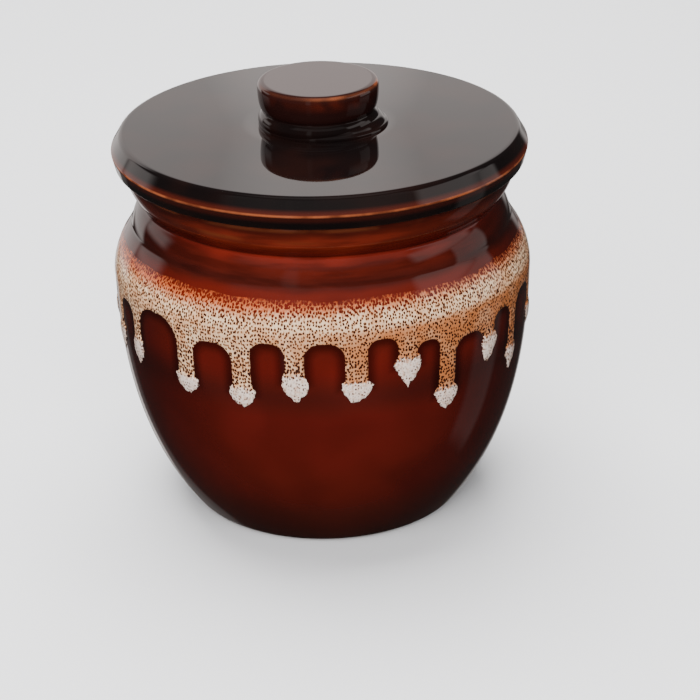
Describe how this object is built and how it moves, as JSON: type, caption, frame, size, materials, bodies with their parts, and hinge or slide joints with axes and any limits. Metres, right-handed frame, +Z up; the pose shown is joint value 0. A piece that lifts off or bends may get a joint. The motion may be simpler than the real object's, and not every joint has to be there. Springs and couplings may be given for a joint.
{
  "type": "onggi jar",
  "caption": "Small round-bellied lidded stoneware jar with a necked mouth, a flat drop-in lid with a disc knob, and a poured glaze on the shoulder that ends in hanging drops.",
  "frame": {"origin": "on the jar's axis, at the height of the foot ring that it stands on", "axes": "+Z up along the jar's axis; the pictured side faces -Y; +X to the right in the picture"},
  "size_m": [0.1026, 0.1023, 0.1064],
  "materials": {
    "iron_glaze": "glossy, dark red-brown, with a bare foot ring",
    "poured_glaze": "glossy, cream to orange-brown, densely speckled dark brown",
    "bead_glaze": "glossy, creamy white with few specks",
    "lid_glaze": "very glossy, near-black brown, orange-brown where it runs thin at edges"
  },
  "bodies": {
    "jar": {"jar_body": "iron_glaze", "drip_glaze": "poured_glaze", "glaze_beads": "bead_glaze"},
    "lid_body": {"lid": "lid_glaze", "lid_knob": "lid_glaze", "knob_glaze_pool": "lid_glaze"}
  },
  "joints": [
    {"name": "lid_lift", "type": "slide", "parent": "jar", "child": "lid_body", "axis": [0, 0, 1], "range_m": [0, 0.04]}
  ]
}
